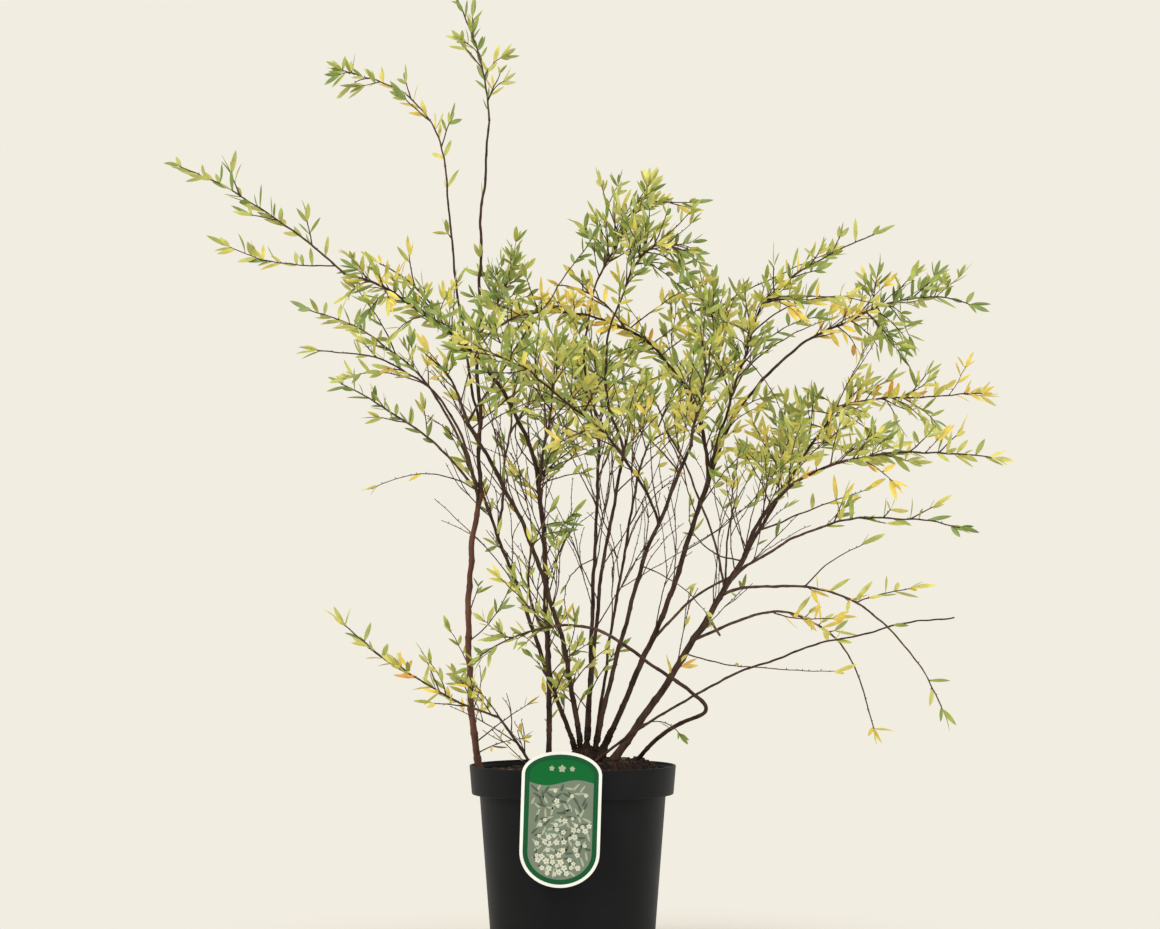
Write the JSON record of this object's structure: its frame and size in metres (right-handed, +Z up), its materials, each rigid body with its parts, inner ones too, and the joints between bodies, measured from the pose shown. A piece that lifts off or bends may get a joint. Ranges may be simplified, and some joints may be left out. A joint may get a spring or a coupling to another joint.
{
  "type": "potted spirea shrub",
  "caption": "Upright, arching deciduous shrub with many slim stems and narrow leaves in early autumn tints, growing in a round black nursery pot with a plain care label.",
  "frame": {"origin": "centre of the pot's flat underside", "axes": "+Z up along the pot's axis, -Y towards the side with the label, +X to the right of that view"},
  "size_m": [0.9139, 0.5709, 1.0714],
  "materials": {
    "pot_plastic": "matt black injection-moulded plastic, faintly grained",
    "potting_soil": "dark brown crumbly potting compost with bark fibres",
    "label_card": "satin printed plastic card, green with a pale border",
    "bark": "smooth reddish-brown bark with small buds",
    "green_leaves": "soft matt green leaf",
    "yellow_leaves": "soft matt yellow autumn leaf"
  },
  "bodies": {
    "root": {"pot": "pot_plastic", "soil": "potting_soil", "label": "label_card", "root_crown": "bark", "west_stem": "bark", "south_stem": "bark", "leaning_stem": "bark", "hooked_stem": "bark", "long_bare_stem": "bark", "low_west_stem": "bark", "crossing_stem": "bark", "diagonal_stem": "bark", "middle_stem": "bark", "inner_stem": "bark", "slender_stem": "bark", "east_inner_stem": "bark", "east_stem": "bark", "hooked_bough": "bark", "tall_leader": "bark", "second_leader": "bark", "arching_west_bough": "bark", "west_crossing_bough": "bark", "great_arch": "bark", "east_high_bough": "bark", "east_inner_bough": "bark", "east_low_bough": "bark", "east_middle_bough": "bark", "top_back_bough": "bark", "top_front_bough": "bark", "tall_leader_spray": "green_leaves", "second_leader_spray": "green_leaves", "far_west_spray": "green_leaves", "arching_west_leaves": "green_leaves", "west_upper_spray": "green_leaves", "west_middle_spray": "green_leaves", "west_low_spray": "green_leaves", "north_west_clump": "green_leaves", "diagonal_spray": "green_leaves", "great_arch_spray": "green_leaves", "great_arch_leaves": "green_leaves", "top_back_clump": "green_leaves", "top_front_clump": "green_leaves", "middle_front_spray": "green_leaves", "middle_west_spray": "green_leaves", "middle_back_spray": "green_leaves", "north_spray": "green_leaves", "east_inner_spray": "green_leaves", "north_east_spray": "green_leaves", "east_crown_clump": "green_leaves", "far_east_spray": "green_leaves", "east_middle_spray": "green_leaves", "east_low_spray": "green_leaves", "east_drooping_spray": "green_leaves", "weeping_front_shoot": "green_leaves", "weeping_back_shoot": "green_leaves", "east_back_spray": "green_leaves", "west_back_spray": "green_leaves", "south_clump": "green_leaves", "low_west_spray": "green_leaves", "low_inner_spray": "green_leaves"}
  },
  "joints": []
}
